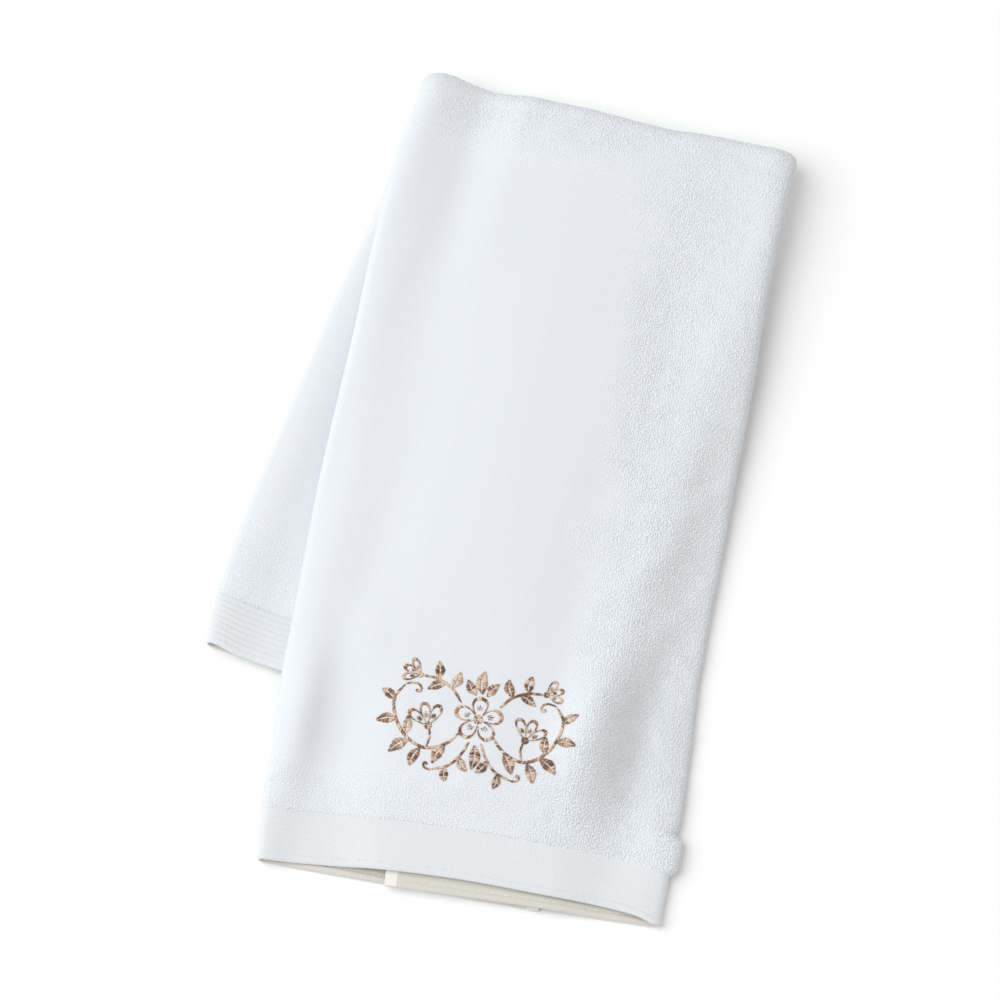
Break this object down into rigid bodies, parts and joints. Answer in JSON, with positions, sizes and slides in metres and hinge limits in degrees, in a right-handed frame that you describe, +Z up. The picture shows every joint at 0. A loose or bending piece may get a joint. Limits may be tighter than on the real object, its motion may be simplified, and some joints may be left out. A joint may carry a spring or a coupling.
{
  "type": "hand towel",
  "caption": "White terry hand towel lying folded, its sides turned in behind the middle and its lower half doubled underneath, with ribbed flat borders and copper thread embroidery.",
  "frame": {"origin": "centre of the bounding box in plan, on the surface that the towel lies on", "axes": "+Y up the upper half, from its hem to the crosswise fold; +X to the right of it, seen from above; +Z up"},
  "size_m": [0.2378, 0.4062, 0.0236],
  "materials": {
    "towel": "matte white cotton terry with short pile"
  },
  "bodies": {
    "root": {"towel": "towel"}
  },
  "joints": []
}
